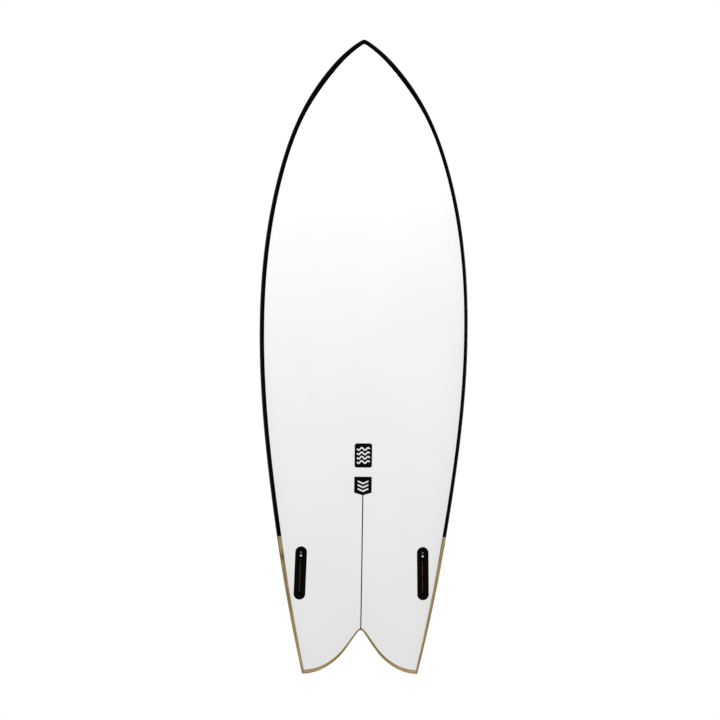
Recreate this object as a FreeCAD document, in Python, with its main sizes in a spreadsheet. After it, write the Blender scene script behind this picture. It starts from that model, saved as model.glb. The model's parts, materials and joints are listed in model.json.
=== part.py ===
import FreeCAD, Part
import math
import os

from FreeCAD import Placement, Rotation, Vector

# A retro twin-fin shortboard with a swallow tail and timber rails, lying deck up.
# X runs across the board, Y from the tail to the nose and Z up. The origin is under the middle of
# the board's box, level with the lowest point of the bottom. All lengths are millimetres.

DRIVING_SIZES = (
    # overall form; the lifts are how far the bottom rises at the nose and at the tail tips
    ("board_length", 1676),
    ("board_width", 549.2),
    ("board_thickness", 64),
    ("nose_thickness", 12),
    ("tail_thickness", 22),
    ("nose_lift", 112),
    ("tail_lift", 46),
    ("lowest_point", -40),
    ("thickest_point", 30),
    ("notch_depth", 117),
    # layers and timber strips
    ("laminate_wall", 1.0),
    ("skin_wall", 3.0),
    ("band_width", 11.4),
    ("band_width_tail", 7),
    ("band_swell", 3.2),
    ("band_swell_place", 100),
    ("band_swell_reach", 90),
    ("strip_width", 9),
    ("band_end", 362),
    ("nose_block_length", 60),
    ("tail_edge_tip", 11),
    ("tail_edge_notch", 4.5),
    ("stringer_width", 3),
    ("stringer_depth", 12),
    ("stringer_front", 471),
    # decals, measured from the tail tips
    ("decal_wall", 0.2),
    ("decal_width", 46),
    ("upper_decal_rear", 545),
    ("upper_decal_length", 63.5),
    ("upper_decal_corner", 6),
    ("lower_decal_rear", 472),
    ("lower_decal_length", 49),
    ("lower_decal_point", 7),
    # fin boxes and their screws
    ("finbox_rear", 266.5),
    ("finbox_side", 161.5),
    ("finbox_toe", 1.5),
    ("flange_length", 141),
    ("flange_width", 30.7),
    ("flange_depth", 3.5),
    ("barrel_length", 130),
    ("barrel_width", 18),
    ("barrel_depth", 19),
    ("slot_length", 106),
    ("slot_width", 7),
    ("slot_depth", 14.5),
    ("slot_shift", -3),
    ("insert_length", 154),
    ("insert_width", 34),
    ("insert_depth", 23),
    ("screw_radius", 2.5),
    ("screw_length", 10),
    ("screw_socket", 1.45),
    ("screw_socket_depth", 3),
    ("screw_lean", 30),
    ("screw_place", 56),
    ("screw_recess", 1.5),
    ("thread_clearance", 0.05),
    # leash cup, measured from the notch
    ("leash_ahead", 95),
    ("cup_radius", 15.5),
    ("cup_wall", 2.5),
    ("cup_depth", 22),
    ("cup_flange_radius", 19),
    ("cup_flange_depth", 2),
    ("leash_pin_radius", 2.5),
    ("leash_pin_depth", 8),
    ("cup_pin_inset", 0.5),
    ("leash_block_radius", 25),
    ("leash_block_depth", 28),
    # air vent, measured ahead of the middle of the board
    ("vent_ahead", 230),
    ("vent_flange_radius", 13),
    ("vent_flange_depth", 1.5),
    ("vent_radius", 10),
    ("vent_depth", 16),
    ("vent_bore_radius", 6),
    ("vent_bore_depth", 9),
    ("vent_hole_radius", 2),
    ("vent_recess", 0.6),
    ("coin_slot_length", 8),
    ("coin_slot_width", 1.2),
    ("coin_slot_depth", 1.5),
    ("membrane_wall", 0.5),
    ("seal_wall", 1.2),
)

# The right half of the plan outline: half width, distance from the nose tip.
OUTLINE = (
    (0, 0), (13, 5.5), (30, 17.5), (70, 54), (148.5, 160), (215, 318),
    (260, 530), (274.6, 760), (263, 1006), (230, 1270), (194, 1482), (147, 1700),
)
OUTLINE_LENGTH = 1676.0
OUTLINE_WIDTH = 549.2
# The right half of the notch between the tail tips: half width, depth measured from the tips.
NOTCH = ((0, 117), (7, 112), (24, 88), (50, 52), (80, 25), (112, 8), (150, 0))
NOTCH_DEPTH = 117.0

STATION_COUNT = 20
QUARTER_POINTS = 6
STRETCHES = (0, 5, 10, 15, 19)
NOSE_START = 0.25
NOSE_ROUND = 7.0
DECK_POWER = 3.0
BOTTOM_POWER = 10.0
RAIL_HEIGHT = 0.38
# The powers by which the bottom lifts and the board thins towards its ends.
NOSE_CURVE = 2.6
TAIL_CURVE = 2.1
NOSE_TAPER = 2.0
TAIL_TAPER = 2.2
# How far cutting shapes run past the board, and how far blanks stand out before they are trimmed.
REACH = 1000.0
OVERHANG = 40.0
PROUD = 3.0
# Inside this distance from the nose tip, the nose block takes the place of the inner rail strips.
STRIP_START = 20.0
SMALL = 0.001

doc = FreeCAD.newDocument("Surfboard")
sheet = doc.addObject("Spreadsheet::Sheet", "Sizes")
for row, (alias, value) in enumerate(DRIVING_SIZES, 1):
    sheet.set(f"A{row}", alias)
    sheet.set(f"B{row}", str(value))
    sheet.setAlias(f"B{row}", alias)
doc.recompute()


def size(alias):
    return float(sheet.get(alias))


LENGTH = size("board_length")
NOSE_Y = LENGTH / 2
TAIL_Y = -LENGTH / 2
NOTCH_Y = TAIL_Y + size("notch_depth")
BAND_END_Y = TAIL_Y + size("band_end")
BLOCK_Y = NOSE_Y - size("nose_block_length")
TAIL_SLACK = OUTLINE[-1][1] - OUTLINE_LENGTH


# ---- curves in plan -------------------------------------------------------------------------

def centripetal(points):
    values = [0.0]
    for first, second in zip(points, points[1:]):
        values.append(values[-1] + math.sqrt((second - first).Length))
    return values


def spline(points, parameters):
    curve = Part.BSplineCurve()
    curve.interpolate(Points=points, Parameters=parameters)
    return curve


def mirrored(point):
    return Vector(-point.x, point.y, point.z)


def symmetric_spline(points):
    """One smooth curve through the right half's points and their mirror images."""
    both = [mirrored(point) for point in reversed(points) if point.x > 0] + points
    return spline(both, centripetal(both))


def make_outline():
    across = size("board_width") / OUTLINE_WIDTH
    along = LENGTH / OUTLINE_LENGTH
    return symmetric_spline([Vector(x * across, NOSE_Y - d * along, 0) for x, d in OUTLINE])


outline = make_outline()


def outline_at(distance):
    """The outline's point at a distance from the nose tip, and the direction inward from it."""
    low = (outline.FirstParameter + outline.LastParameter) / 2
    high = outline.LastParameter
    for _ in range(50):
        middle = (low + high) / 2
        if NOSE_Y - outline.value(middle).y < distance:
            low = middle
        else:
            high = middle
    along = Vector(*outline.tangent(low)[0])
    return outline.value(low), Vector(along.y, -along.x, 0).normalize()


def station_distances():
    """Even steps, and distances from the nose tip that are close together near the tip."""
    last = LENGTH + TAIL_SLACK
    steps = [index / (STATION_COUNT - 1) for index in range(STATION_COUNT)]
    steps[0] = math.sqrt(NOSE_START / last)
    return steps, [last * step ** 2 for step in steps]


def band_width(y):
    """The band is widest a little behind the nose tip. Its bare stretch narrows towards the tail."""
    bare = max(0.0, (BAND_END_Y - y) / (BAND_END_Y - TAIL_Y))
    away = (NOSE_Y - y - size("band_swell_place")) / size("band_swell_reach")
    swell = size("band_swell") * math.exp(-away ** 2)
    return size("band_width") + bare * (size("band_width_tail") - size("band_width")) + swell


def tall_prism(points, reach):
    """An upright solid. Its plan is a symmetric curve, squared off at a reach and closed behind."""
    end = points[-1]
    far = TAIL_Y - 2 * OVERHANG
    corners = [end]
    if reach > end.x:
        corners.append(Vector(reach, end.y, 0))
    corners.append(Vector(corners[-1].x, far, 0))
    corners += [mirrored(corner) for corner in reversed(corners)]
    edges = [symmetric_spline(points).toShape()]
    edges += [Part.makeLine(first, second) for first, second in zip(corners, corners[1:])]
    face = Part.Face(Part.Wire(edges))
    face.translate(Vector(0, 0, -OVERHANG))
    return face.extrude(Vector(0, 0, REACH))


def inside_edge(extra, nearest):
    """The plan inside the rail strips: everything further inward than the band and an extra width."""
    points = []
    for distance in station_distances()[1]:
        if distance >= nearest:
            edge, inward = outline_at(distance)
            points.append(edge + inward * (band_width(edge.y) + extra))
    if nearest == 0:
        points[0] = Vector(0, NOSE_Y - band_width(NOSE_Y) - extra, 0)
    return tall_prism(points, 0)


def notch_prism(width_notch, width_tip):
    """The notch's plan, moved into the board by a width that grows from the notch to the tips."""
    plain = [Vector(x, TAIL_Y + d * size("notch_depth") / NOTCH_DEPTH, 0) for x, d in NOTCH]
    curve = symmetric_spline(plain)
    moved = []
    for point in plain:
        along = Vector(*curve.tangent(curve.parameter(point))[0])
        width = width_notch + (width_tip - width_notch) * point.x / plain[-1].x
        moved.append(point + Vector(-along.y, along.x, 0).normalize() * width)
    moved[0].x = 0
    return tall_prism(moved, plain[-1].x + OVERHANG)


# ---- the hull -------------------------------------------------------------------------------

def rocker(y):
    """The height of the bottom's middle line."""
    lowest = size("lowest_point")
    if y > lowest:
        return size("nose_lift") * ((y - lowest) / (NOSE_Y - lowest)) ** NOSE_CURVE
    return size("tail_lift") * ((lowest - y) / (lowest - TAIL_Y)) ** TAIL_CURVE


def thickness(y):
    """The thickness on the middle line, rounded off at the nose tip."""
    full = size("board_thickness")
    thickest = size("thickest_point")
    if y > thickest:
        share = (y - thickest) / (NOSE_Y - thickest)
        value = full - (full - size("nose_thickness")) * share ** NOSE_TAPER
    else:
        share = (thickest - y) / (thickest - TAIL_Y)
        value = full - (full - size("tail_thickness")) * share ** TAIL_TAPER
    short = 1 - (NOSE_Y - y) / NOSE_ROUND
    if short > 0:
        value *= math.sqrt(1 - short ** 2)
    return value


def section(distance, wall):
    """A closed ring of points across the board, from the right rail over the deck."""
    edge, inward = outline_at(distance)
    rim = edge + inward * wall
    low = rocker(edge.y) + wall
    tall = thickness(edge.y) - 2 * wall
    apex = RAIL_HEIGHT * tall
    ring = []
    for index in range(4 * QUARTER_POINTS):
        across = math.cos(math.pi / 2 * index / QUARTER_POINTS)
        reach = min(1.0, abs(across))
        if index < 2 * QUARTER_POINTS:
            height = apex + (tall - apex) * math.sqrt(1 - reach ** DECK_POWER)
        else:
            height = apex * (1 - math.sqrt(1 - reach ** BOTTOM_POWER))
        ring.append(Vector(rim.x * across, rim.y, low + height))
    ring.append(ring[0])
    return ring


def is_across(edge, y):
    """Whether an edge lies in the upright plane across the board at a y."""
    box = edge.BoundBox
    return max(abs(box.YMin - y), abs(box.YMax - y)) < SMALL


def hull_solid(wall):
    """The whole board's form, drawn in by a wall on every side, running on past the tail tips.

    Its skin is one surface, kept as deck and bottom faces that meet along the rails.
    """
    steps, distances = station_distances()
    turns = [float(index) for index in range(4 * QUARTER_POINTS + 1)]
    rings = [spline(section(distance, wall), turns) for distance in distances]
    lines = [spline(list(column), steps) for column in zip(*[ring.getPoles() for ring in rings])]
    skin = Part.BSplineSurface()
    skin.buildFromPolesMultsKnots(
        [line.getPoles() for line in lines],
        rings[0].getMultiplicities(), lines[0].getMultiplicities(),
        rings[0].getKnots(), lines[0].getKnots(),
        False, False, 3, 3,
    )
    faces = []
    for first, last in zip(STRETCHES, STRETCHES[1:]):
        for turn in (0, 2 * QUARTER_POINTS):
            patch = skin.copy()
            patch.segment(turn, turn + 2 * QUARTER_POINTS, steps[first], steps[last])
            faces.append(patch.toShape())
    caps = []
    for pair, y in ((faces[:2], rings[0].StartPoint.y), (faces[-2:], rings[-1].StartPoint.y)):
        rim = [edge for face in pair for edge in face.Edges if is_across(edge, y)]
        caps.append(Part.Face(Part.Wire(rim)))
    shell = Part.makeShell(faces + caps)
    shell.sewShape()
    return Part.makeSolid(shell)


def slab(low_y, high_y, low_x=-REACH, high_x=REACH):
    corner = Vector(low_x, low_y, -REACH / 2)
    return Part.makeBox(high_x - low_x, high_y - low_y, REACH, corner)


def slope(height, y):
    return (height(y + 1) - height(y - 1)) / 2


def deck(y):
    return rocker(y) + thickness(y)


# ---- document objects bound to the sheet ----------------------------------------------------

def bind(item, **sizes):
    for name, expression in sizes.items():
        item.setExpression(name, expression)
    return item


def cylinder(name, place, radius, height):
    item = doc.addObject("Part::Cylinder", name)
    item.Placement = place
    return bind(item, Radius=radius, Height=height)


def block(name, place, length, width, height):
    item = doc.addObject("Part::Box", name)
    item.Placement = place
    return bind(item, Length=length, Width=width, Height=height)


def fuse(name, *items):
    item = doc.addObject("Part::MultiFuse", name)
    item.Shapes = list(items)
    return item


def cut(name, base, tool):
    item = doc.addObject("Part::Cut", name)
    item.Base = base
    item.Tool = tool
    return item


def common(name, base, tool):
    item = doc.addObject("Part::Common", name)
    item.Base = base
    item.Tool = tool
    return item


def feature(name, shape):
    item = doc.addObject("Part::Feature", name)
    item.Shape = shape
    return item


def local(frame, x=0.0, y=0.0, z=0.0, turn=None):
    return frame.multiply(Placement(Vector(x, y, z), turn or Rotation()))


def stadium(name, frame, length, width, low, high, shift=0.0):
    """A block with round ends, long in the frame's Y. low and high are numbers, the rest aliases."""
    half = (size(length) - size(width)) / 2
    radius = f"Sizes.{width} / 2"
    tall = str(high - low)
    bar = block(
        name + "_bar", local(frame, -size(width) / 2, shift - half, low),
        f"Sizes.{width}", f"Sizes.{length} - Sizes.{width}", tall,
    )
    ends = [
        cylinder(f"{name}_{end}", local(frame, 0, shift + side * half, low), radius, tall)
        for end, side in (("front", 1), ("rear", -1))
    ]
    return fuse(name, bar, *ends)


# ---- fin boxes and screws -------------------------------------------------------------------

FIN_Y = TAIL_Y + size("finbox_rear")
hull = feature("hull", hull_solid(0))


def fin_frame(side):
    """Origin on the bottom, Y along the slot and Z up into the board."""
    tilt = math.degrees(math.atan(slope(rocker, FIN_Y)))
    turn = Rotation(Vector(0, 0, 1), side * size("finbox_toe")) * Rotation(Vector(1, 0, 0), tilt)
    return Placement(Vector(side * size("finbox_side"), FIN_Y, rocker(FIN_Y)), turn)


def screw_frame(side):
    """Origin where the screw's axis meets the bottom, Z along the axis and into the board."""
    lean = Rotation(Vector(1, 0, 0), size("screw_lean"))
    return local(fin_frame(side), 0, size("screw_place"), 0, lean)


def make_fin_box(word, side):
    frame = fin_frame(side)
    screw = screw_frame(side)
    flange = stadium(
        "flange_" + word, frame, "flange_length", "flange_width", -PROUD, size("flange_depth"),
    )
    barrel = stadium(
        "barrel_" + word, frame, "barrel_length", "barrel_width", -PROUD, size("barrel_depth"),
    )
    envelope = fuse("fin_box_envelope_" + word, flange, barrel)
    slot = stadium(
        "slot_" + word, frame, "slot_length", "slot_width",
        -2 * PROUD, size("slot_depth"), size("slot_shift"),
    )
    hole = cylinder(
        "screw_hole_" + word, local(screw, 0, 0, -3 * PROUD),
        "Sizes.screw_radius + Sizes.thread_clearance",
        f"Sizes.screw_recess + Sizes.screw_length + {3 * PROUD}",
    )
    shell = cut("fin_box_shell_" + word, envelope, fuse("fin_box_hollow_" + word, slot, hole))
    box = common("fin_box_" + word, shell, hull)
    shaft = cylinder(
        "screw_shaft_" + word, local(screw, 0, 0, size("screw_recess")),
        "Sizes.screw_radius", "Sizes.screw_length",
    )
    socket = doc.addObject("Part::Prism", "screw_socket_" + word)
    socket.Polygon = 6
    socket.Placement = local(screw, 0, 0, size("screw_recess"))
    bind(socket, Circumradius="Sizes.screw_socket", Height="Sizes.screw_socket_depth")
    grub = cut("fin_screw_" + word, shaft, socket)
    insert = stadium(
        "insert_blank_" + word, frame, "insert_length", "insert_width",
        -PROUD, size("insert_depth"),
    )
    return box, grub, envelope, insert


# ---- leash cup and vent ---------------------------------------------------------------------

def deck_frame(y):
    """Origin on the deck's middle line, Z up out of the board."""
    tilt = math.degrees(math.atan(slope(deck, y)))
    return Placement(Vector(0, y, deck(y)), Rotation(Vector(1, 0, 0), tilt))


def make_leash_cup():
    frame = deck_frame(NOTCH_Y + size("leash_ahead"))
    barrel = cylinder(
        "cup_barrel", local(frame, 0, 0, -size("cup_depth")),
        "Sizes.cup_radius", f"Sizes.cup_depth + {PROUD}",
    )
    flange = cylinder(
        "cup_flange", local(frame, 0, 0, -size("cup_flange_depth")),
        "Sizes.cup_flange_radius", f"Sizes.cup_flange_depth + {PROUD}",
    )
    envelope = fuse("cup_envelope", barrel, flange)
    bowl = cylinder(
        "cup_bowl", local(frame, 0, 0, size("cup_wall") - size("cup_depth")),
        "Sizes.cup_radius - Sizes.cup_wall", f"Sizes.cup_depth + {2 * PROUD}",
    )
    sideways = Rotation(Vector(0, 1, 0), 90)
    start = size("cup_pin_inset") - size("cup_radius")
    pin = cylinder(
        "leash_pin", local(frame, start, 0, -size("leash_pin_depth"), sideways),
        "Sizes.leash_pin_radius", "2 * (Sizes.cup_radius - Sizes.cup_pin_inset)",
    )
    shell = cut("cup_shell", envelope, fuse("cup_hollow", bowl, pin))
    cup = common("leash_cup", shell, hull)
    blank = cylinder(
        "leash_block_blank", local(frame, 0, 0, -size("leash_block_depth")),
        "Sizes.leash_block_radius", f"Sizes.leash_block_depth + {2 * PROUD}",
    )
    return cup, pin, envelope, blank


def make_vent():
    frame = deck_frame(size("vent_ahead"))
    barrel = cylinder(
        "vent_barrel", local(frame, 0, 0, -size("vent_depth")),
        "Sizes.vent_radius", f"Sizes.vent_depth + {PROUD}",
    )
    flange = cylinder(
        "vent_flange", local(frame, 0, 0, -size("vent_flange_depth")),
        "Sizes.vent_flange_radius", f"Sizes.vent_flange_depth + {PROUD}",
    )
    envelope = fuse("vent_envelope", barrel, flange)
    floor = -size("vent_bore_depth")
    bore = cylinder(
        "vent_bore", local(frame, 0, 0, floor),
        "Sizes.vent_bore_radius", f"Sizes.vent_bore_depth + {2 * PROUD}",
    )
    duct = cylinder(
        "vent_duct", local(frame, 0, 0, -size("vent_depth") - PROUD),
        "Sizes.vent_hole_radius", f"Sizes.vent_depth + {PROUD}",
    )
    shell = cut("vent_shell", envelope, fuse("vent_hollow", bore, duct))
    body = common("vent_body", shell, hull)
    seat = local(frame, 0, 0, floor)
    ring = cylinder("seal_blank", seat, "Sizes.vent_bore_radius", "Sizes.seal_wall")
    eye = cylinder("seal_eye", seat, "Sizes.vent_bore_radius / 2", "Sizes.seal_wall")
    seal = cut("vent_seal", ring, eye)
    above = floor + size("seal_wall")
    membrane = cylinder(
        "vent_membrane", local(frame, 0, 0, above), "Sizes.vent_bore_radius", "Sizes.membrane_wall",
    )
    above += size("membrane_wall")
    plug = cylinder(
        "insert_plug", local(frame, 0, 0, above), "Sizes.vent_bore_radius",
        "Sizes.vent_bore_depth - Sizes.seal_wall - Sizes.membrane_wall - Sizes.vent_recess",
    )
    breather = cylinder(
        "insert_breather", local(frame, 0, 0, above),
        "Sizes.vent_hole_radius / 2", "Sizes.vent_bore_depth",
    )
    corner = local(
        frame, -size("coin_slot_length") / 2, -size("coin_slot_width") / 2,
        -size("vent_recess") - size("coin_slot_depth"),
    )
    coin_slot = block(
        "insert_coin_slot", corner,
        "Sizes.coin_slot_length", "Sizes.coin_slot_width", "2 * Sizes.coin_slot_depth",
    )
    insert = cut("vent_insert", plug, fuse("insert_hollow", breather, coin_slot))
    return body, insert, membrane, seal, envelope


fin_parts = {word: make_fin_box(word, side) for word, side in (("left", -1), ("right", 1))}
leash_cup, leash_pin, cup_envelope, leash_blank = make_leash_cup()
vent_body, vent_insert, vent_membrane, vent_seal, vent_envelope = make_vent()
doc.recompute()


# ---- the board's own layers -----------------------------------------------------------------

def only_solid(shape):
    solids = shape.Solids
    assert len(solids) == 1, len(solids)
    return solids[0]


outer = hull.Shape
inner = hull_solid(size("laminate_wall"))
edge_plan = inside_edge(0.0, 0)
strip_plan = inside_edge(size("strip_width"), STRIP_START)
notch = notch_prism(0.0, 0.0)
notch_edge = notch_prism(size("tail_edge_notch"), size("tail_edge_tip"))
left_side = slab(-REACH, REACH, -REACH, 0)
right_side = slab(-REACH, REACH, 0, REACH)
behind_block = slab(-REACH, BLOCK_Y)
sides = (("left", left_side), ("right", right_side))
lift = Vector(0, 0, 1)
pieces = {}


def make_stringer():
    half = size("stringer_width") / 2
    strip = slab(NOTCH_Y - OVERHANG, TAIL_Y + size("stringer_front"), -half, half)
    blank = outer.common(strip).cut(outer.translated(lift * size("stringer_depth")))
    return only_solid(blank.cut(notch))


def decal_slice(plan):
    thin = outer.common(plan).cut(outer.translated(lift * size("decal_wall")))
    return only_solid(thin)


def make_upper_decal():
    low = TAIL_Y + size("upper_decal_rear")
    width = size("decal_width")
    corner = Vector(-width / 2, low, -OVERHANG)
    plan = Part.makeBox(width, size("upper_decal_length"), REACH, corner)
    uprights = [edge for edge in plan.Edges if edge.BoundBox.ZLength > REACH / 2]
    return decal_slice(plan.makeFillet(size("upper_decal_corner"), uprights))


def make_lower_decal():
    half = size("decal_width") / 2
    tip = TAIL_Y + size("lower_decal_rear")
    shoulder = tip + size("lower_decal_point")
    top = tip + size("lower_decal_length")
    corners = [(0, tip), (half, shoulder), (half, top), (-half, top), (-half, shoulder), (0, tip)]
    wire = Part.makePolygon([Vector(x, y, -OVERHANG) for x, y in corners])
    return decal_slice(Part.Face(wire).extrude(Vector(0, 0, REACH)))


def make_laminates(holes):
    sheets = outer.common(edge_plan).cut([notch_edge, inner])
    low, high = sorted(sheets.Solids, key=lambda solid: solid.CenterOfMass.z)
    return only_solid(low.cut(holes)), only_solid(high.cut(holes))


def make_outer_rail(half_space):
    """Bare timber out to the surface behind the band's end, and under the laminate ahead of it."""
    rear = outer.common(slab(-REACH, BAND_END_Y)).common(half_space).cut([edge_plan, notch])
    front = inner.common(slab(BAND_END_Y, BLOCK_Y)).common(half_space).cut(edge_plan)
    return only_solid(rear.fuse(front).removeSplitter())


stringer = make_stringer()
upper_decal = make_upper_decal()
lower_decal = make_lower_decal()
envelopes = [parts[2].Shape for parts in fin_parts.values()]
inserts = [parts[3].Shape for parts in fin_parts.values()]
cup_hole = cup_envelope.Shape
vent_hole = vent_envelope.Shape
holes = envelopes + [cup_hole, vent_hole, stringer, upper_decal, lower_decal]

pieces["tail_stringer"] = stringer
pieces["upper_decal"] = upper_decal
pieces["lower_decal"] = lower_decal
pieces["bottom_laminate"], pieces["deck_laminate"] = make_laminates(holes)
pieces["rail_band"] = only_solid(outer.common(slab(BAND_END_Y, REACH)).cut([edge_plan, inner]))
pieces["nose_block"] = only_solid(inner.common(slab(BLOCK_Y, REACH)))

core = inner.common(strip_plan).common(behind_block).cut(notch_edge)
sunk = core.translated(lift * -size("skin_wall"))
skin_holes = [cup_hole, leash_blank.Shape, vent_hole]
pieces["deck_skin"] = only_solid(core.cut(sunk).cut(skin_holes))
core_holes = inserts + [cup_hole, leash_blank.Shape, vent_hole, stringer]
pieces["foam_core"] = only_solid(core.common(sunk).cut(core_holes))
pieces["leash_block"] = only_solid(inner.common(leash_blank.Shape).cut([cup_hole, stringer]))

for word, half_space in sides:
    box, grub, envelope, insert = fin_parts[word]
    ring = inner.common(edge_plan).common(behind_block).common(half_space)
    strip = ring.cut([strip_plan, notch_edge, insert.Shape])
    pieces["rail_outer_" + word] = make_outer_rail(half_space)
    pieces["rail_inner_" + word] = only_solid(strip)
    tail = outer.common(edge_plan).common(notch_edge).common(half_space)
    pieces["tail_edge_" + word] = only_solid(tail.cut([notch, stringer]))
    foam = inner.common(insert.Shape).cut(envelope.Shape)
    pieces["fin_box_foam_" + word] = only_solid(foam)

nodes = [feature(name, shape) for name, shape in pieces.items()]
for box, grub, envelope, insert in fin_parts.values():
    nodes += [box, grub]
nodes += [leash_cup, leash_pin, vent_body, vent_insert, vent_membrane, vent_seal]
doc.recompute()


# ---- checks and files -----------------------------------------------------------------------

def is_sound(item):
    return not {"Invalid", "Error"} & set(item.State)


for item in doc.Objects:
    assert is_sound(item), (item.Label, item.State)
for node in nodes:
    assert not node.Shape.isNull(), node.Label
    assert node.Shape.isValid(), node.Label

os.makedirs("parts", exist_ok=True)
for node in nodes:
    node.Shape.exportStep(f"parts/{node.Label}.step")
    print(node.Label, len(node.Shape.Solids), "solid", round(node.Shape.Volume), "mm3")
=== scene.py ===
import json
import math

import bpy
import numpy as np
from mathutils import Matrix, Vector
from mathutils.geometry import delaunay_2d_cdt
from mathutils.kdtree import KDTree


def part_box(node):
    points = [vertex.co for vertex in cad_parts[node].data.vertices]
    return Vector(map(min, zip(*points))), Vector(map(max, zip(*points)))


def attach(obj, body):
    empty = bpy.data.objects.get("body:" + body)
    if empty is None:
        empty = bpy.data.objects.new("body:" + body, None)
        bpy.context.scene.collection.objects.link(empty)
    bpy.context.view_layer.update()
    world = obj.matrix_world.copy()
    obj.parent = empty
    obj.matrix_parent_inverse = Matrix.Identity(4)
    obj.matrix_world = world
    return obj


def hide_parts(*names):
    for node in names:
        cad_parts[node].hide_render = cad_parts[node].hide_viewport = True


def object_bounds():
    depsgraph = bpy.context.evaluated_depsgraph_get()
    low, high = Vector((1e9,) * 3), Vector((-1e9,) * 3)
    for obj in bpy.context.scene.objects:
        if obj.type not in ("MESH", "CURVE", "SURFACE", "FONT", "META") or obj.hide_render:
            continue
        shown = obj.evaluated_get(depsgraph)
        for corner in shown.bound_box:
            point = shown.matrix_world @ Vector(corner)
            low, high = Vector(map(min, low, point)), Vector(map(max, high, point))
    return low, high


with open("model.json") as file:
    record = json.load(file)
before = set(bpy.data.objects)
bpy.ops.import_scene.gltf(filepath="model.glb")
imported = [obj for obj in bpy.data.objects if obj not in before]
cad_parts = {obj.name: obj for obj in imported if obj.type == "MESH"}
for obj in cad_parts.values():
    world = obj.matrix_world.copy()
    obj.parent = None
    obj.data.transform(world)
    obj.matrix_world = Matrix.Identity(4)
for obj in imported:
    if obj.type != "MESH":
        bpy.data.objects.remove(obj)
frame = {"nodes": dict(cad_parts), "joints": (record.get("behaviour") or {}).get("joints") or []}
cad_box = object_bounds()

# A twin-fin surfboard lying deck up: X to the rider's right, Y from the tail to the nose, Z up.
# Every outer skin is a fine mesh made from the board's own outline, rocker and section.
# Lengths are metres, and millimetres where they are multiplied by MM.

MM = 0.001
SIDES = (("left", -1), ("right", 1))

# ---- sizes read from the frame ----

TAIL_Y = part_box("rail_outer_right")[0].y
LENGTH = -2 * TAIL_Y
NOSE_Y = LENGTH / 2
BAND_END_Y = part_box("rail_band")[0].y
BLOCK_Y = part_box("rail_outer_right")[1].y
STRINGER_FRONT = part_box("tail_stringer")[1].y
STRINGER_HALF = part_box("tail_stringer")[1].x

# ---- the board's form ----

# The right half of the plan outline: half width, distance from the nose tip.
OUTLINE = (
    (0, 0), (13, 5.5), (30, 17.5), (70, 54), (148.5, 160), (215, 318),
    (260, 530), (274.6, 760), (263, 1006), (230, 1270), (194, 1482), (147, 1700),
)
# The right half of the notch between the tail tips: half width, depth measured from the tips.
NOTCH = ((0, 117), (7, 112), (24, 88), (50, 52), (80, 25), (112, 8), (150, 0))

LOWEST_Y = -40 * MM
THICKEST_Y = 30 * MM
NOSE_LIFT, NOSE_CURVE = 112 * MM, 2.6
TAIL_LIFT, TAIL_CURVE = 46 * MM, 2.1
FULL_THICKNESS = 64 * MM
NOSE_THICKNESS, NOSE_TAPER = 12 * MM, 2.0
TAIL_THICKNESS, TAIL_TAPER = 22 * MM, 2.2
NOSE_ROUND = 7 * MM
RAIL_HEIGHT = 0.38
DECK_POWER = 3.0
BOTTOM_POWER = 10.0
WALL = 1.0 * MM
BAND_WIDTH, BAND_WIDTH_TAIL = 11.4 * MM, 7 * MM
BAND_SWELL, SWELL_PLACE, SWELL_REACH = 3.2 * MM, 100 * MM, 90 * MM
TAIL_EDGE_NOTCH, TAIL_EDGE_TIP = 4.5 * MM, 11 * MM
EDGE_ROUND = 1.6 * MM

# How finely the skins are divided.
SECTION_STEPS = 14
NOSE_STEPS, MIDDLE_STEPS, TAIL_STEPS = 44, 150, 64
NOTCH_STEPS = 70
NOTCH_CROWDING = 1.3
END_STEPS = 7
SKIN_ROWS, SKIN_COLUMNS, SKIN_CROWDING = 230, 62, 1.25
SKIN_EDGE, SKIN_CLEAR, NOSE_CLEAR = 0.995, 1.2 * MM, 11 * MM


class PlanCurve:
    """A smooth curve in plan through the right half's points and their mirror images."""

    def __init__(self, half):
        half = np.array(half, float)
        mirror = half[::-1] * (-1, 1)
        points = np.vstack([mirror[:-1], half])
        steps = np.sqrt(np.linalg.norm(np.diff(points, axis=0), axis=1))
        knots = np.concatenate(([0.0], np.cumsum(steps)))
        count = len(points)
        system = np.zeros((count, count))
        turn = np.zeros((count, 2))
        for i in range(1, count - 1):
            before, after = steps[i - 1], steps[i]
            system[i, i - 1:i + 2] = before, 2 * (before + after), after
            turn[i] = 6 * ((points[i + 1] - points[i]) / after - (points[i] - points[i - 1]) / before)
        for row, (a, b) in ((0, steps[:2]), (-1, steps[-2:])):
            ends = slice(0, 3) if row == 0 else slice(count - 3, count)
            system[row, ends] = 1 / a, -1 / a - 1 / b, 1 / b
        self.points, self.knots = points, knots
        self.bends = np.linalg.solve(system, turn)
        self.middle, self.end = knots[count // 2], knots[-1]

    def at(self, t):
        """Points and tangents at an array of parameters."""
        t = np.asarray(t, float)
        i = np.clip(np.searchsorted(self.knots, t, side="right") - 1, 0, len(self.knots) - 2)
        gap = (self.knots[i + 1] - self.knots[i])[..., None]
        a = (self.knots[i + 1] - t)[..., None] / gap
        b = 1 - a
        start, stop = self.points[i], self.points[i + 1]
        bend, next_bend = self.bends[i], self.bends[i + 1]
        point = a * start + b * stop + ((a ** 3 - a) * bend + (b ** 3 - b) * next_bend) * gap ** 2 / 6
        slope = (stop - start) / gap + ((1 - 3 * a ** 2) * bend + (3 * b ** 2 - 1) * next_bend) * gap / 6
        return point, slope / np.linalg.norm(slope, axis=-1, keepdims=True)

    def offset(self, t, distance):
        """Points moved to the left of the curve's direction, which is from the left half to the right."""
        point, along = self.at(t)
        across = np.stack([-along[..., 1], along[..., 0]], axis=-1)
        return point + across * np.asarray(distance)[..., None]


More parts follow.
